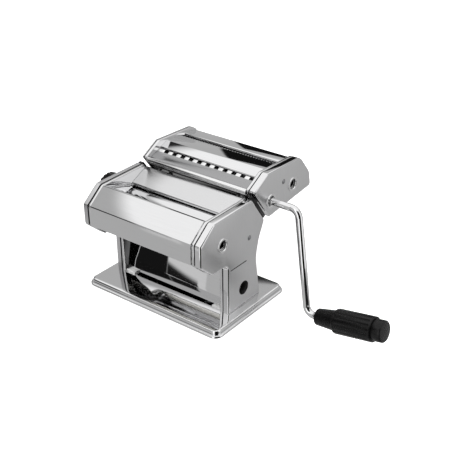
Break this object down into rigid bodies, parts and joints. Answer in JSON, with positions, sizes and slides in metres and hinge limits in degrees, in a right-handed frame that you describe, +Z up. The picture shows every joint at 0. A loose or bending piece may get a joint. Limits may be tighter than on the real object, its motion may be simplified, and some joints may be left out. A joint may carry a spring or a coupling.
{
  "type": "pasta machine",
  "caption": "Hand-cranked chromed pasta machine with adjustable sheet rollers, a hook-on two-width cutter head and a plug-in crank.",
  "frame": {"origin": "middle of the base, level with the underside of its feet", "axes": "+X along the rollers to the crank side, +Y to the back where the cutter head is, +Z up"},
  "size_m": [0.3634, 0.2164, 0.1798],
  "materials": {
    "polished_steel": "polished chrome plate on pressed steel",
    "satin_steel": "bright pressed steel with a soft sheen",
    "plain_steel": "plain turned or drawn steel",
    "roller_steel": "ground and plated steel",
    "gear_steel": "dark greased gear steel",
    "bronze": "sintered bronze",
    "black_plastic": "black moulded plastic, satin",
    "rubber": "matt black rubber",
    "scraper_plastic": "natural food-grade plastic"
  },
  "bodies": {
    "machine": {"base_tray": "polished_steel", "base_feet": "rubber", "leg_screws": "plain_steel", "left_frame_plate": "polished_steel", "right_frame_plate": "polished_steel", "left_side_cover": "satin_steel", "right_side_cover": "satin_steel", "clamp_bush": "plain_steel", "crank_ring": "polished_steel", "cover_rivets": "polished_steel", "front_cover": "polished_steel", "feed_chute": "polished_steel", "feed_guards": "polished_steel", "dough_guide": "polished_steel", "rear_cover": "polished_steel", "tie_rods": "plain_steel", "roller_bushes": "bronze", "front_scraper": "scraper_plastic", "rear_scraper": "scraper_plastic", "head_studs": "plain_steel", "head_rests": "black_plastic", "dial_plate": "polished_steel"},
    "front_roller": {"front_roller": "roller_steel", "front_roller_gear": "gear_steel"},
    "roller_carriage": {"roller_yoke": "plain_steel"},
    "rear_roller": {"rear_roller": "roller_steel", "rear_roller_gear": "gear_steel"},
    "adjuster": {"adjuster_shaft": "plain_steel", "spiral_cam": "plain_steel", "knob_spring": "plain_steel"},
    "knob": {"thickness_knob": "black_plastic", "locating_pin": "plain_steel"},
    "cutter_head": {"cutter_left_plate": "polished_steel", "cutter_right_plate": "polished_steel", "cutter_left_cover": "satin_steel", "cutter_right_cover": "satin_steel", "cutter_rings": "polished_steel", "cutter_rivets": "polished_steel", "front_bar": "polished_steel", "front_comb": "polished_steel", "middle_panel": "polished_steel", "rear_comb": "polished_steel", "cutter_rear_cover": "polished_steel", "cutter_front_sheet": "polished_steel", "cutter_bushes": "bronze", "cutter_tie_rods": "plain_steel", "wide_strippers": "scraper_plastic", "fine_strippers": "scraper_plastic"},
    "wide_drive": {"wide_drive_cutter": "roller_steel", "wide_drive_gear": "gear_steel"},
    "wide_mate": {"wide_mate_cutter": "roller_steel", "wide_mate_gear": "gear_steel"},
    "fine_drive": {"fine_drive_cutter": "roller_steel", "fine_drive_gear": "gear_steel"},
    "fine_mate": {"fine_mate_cutter": "roller_steel", "fine_mate_gear": "gear_steel"},
    "crank": {"crank_rod": "polished_steel", "grip_washer": "plain_steel"},
    "grip": {"crank_grip": "black_plastic", "grip_cap": "black_plastic"}
  },
  "joints": [
    {"name": "front_roller_spin", "type": "hinge", "parent": "machine", "child": "front_roller", "pos_m": [0, -0.0386, 0.1054], "axis": [1, 0, 0], "continuous": true},
    {"name": "thickness_slide", "type": "slide", "parent": "machine", "child": "roller_carriage", "axis": [0, -1, 0], "range_m": [0, 0.0022]},
    {"name": "rear_roller_spin", "type": "hinge", "parent": "roller_carriage", "child": "rear_roller", "pos_m": [0, -0.0086, 0.1054], "axis": [1, 0, 0], "continuous": true},
    {"name": "knob_turn", "type": "hinge", "parent": "machine", "child": "adjuster", "pos_m": [-0.09, -0.0106, 0.107], "axis": [-1, 0, 0], "range_deg": [0, 240]},
    {"name": "knob_pull", "type": "slide", "parent": "adjuster", "child": "knob", "axis": [-1, 0, 0], "range_m": [0, 0.004], "stiffness_N_per_m": 400},
    {"name": "head_slide", "type": "slide", "parent": "machine", "child": "cutter_head", "axis": [0, -0.5846, 0.8113], "range_m": [0, 0.045]},
    {"name": "wide_drive_spin", "type": "hinge", "parent": "cutter_head", "child": "wide_drive", "pos_m": [0, 0.0532, 0.1239], "axis": [1, 0, 0], "continuous": true},
    {"name": "wide_mate_spin", "type": "hinge", "parent": "cutter_head", "child": "wide_mate", "pos_m": [0, 0.06699, 0.13547], "axis": [1, 0, 0], "continuous": true},
    {"name": "fine_drive_spin", "type": "hinge", "parent": "cutter_head", "child": "fine_drive", "pos_m": [0, 0.098, 0.1289], "axis": [1, 0, 0], "continuous": true},
    {"name": "fine_mate_spin", "type": "hinge", "parent": "cutter_head", "child": "fine_mate", "pos_m": [0, 0.11201, 0.1402], "axis": [1, 0, 0], "continuous": true},
    {"name": "crank_pull", "type": "slide", "parent": "wide_drive", "child": "crank", "axis": [1, 0, 0], "range_m": [0, 0.045]},
    {"name": "grip_spin", "type": "hinge", "parent": "crank", "child": "grip", "pos_m": [0.14496, 0.0532, -0.01084], "axis": [0.9857, 0, 0.1685], "continuous": true}
  ],
  "couplings": [
    {"joint": "rear_roller_spin", "follows": "front_roller_spin", "ratio": -1},
    {"joint": "knob_turn", "follows": "thickness_slide", "rad_per_m": 1904},
    {"joint": "wide_mate_spin", "follows": "wide_drive_spin", "ratio": -1},
    {"joint": "fine_mate_spin", "follows": "fine_drive_spin", "ratio": -1}
  ]
}
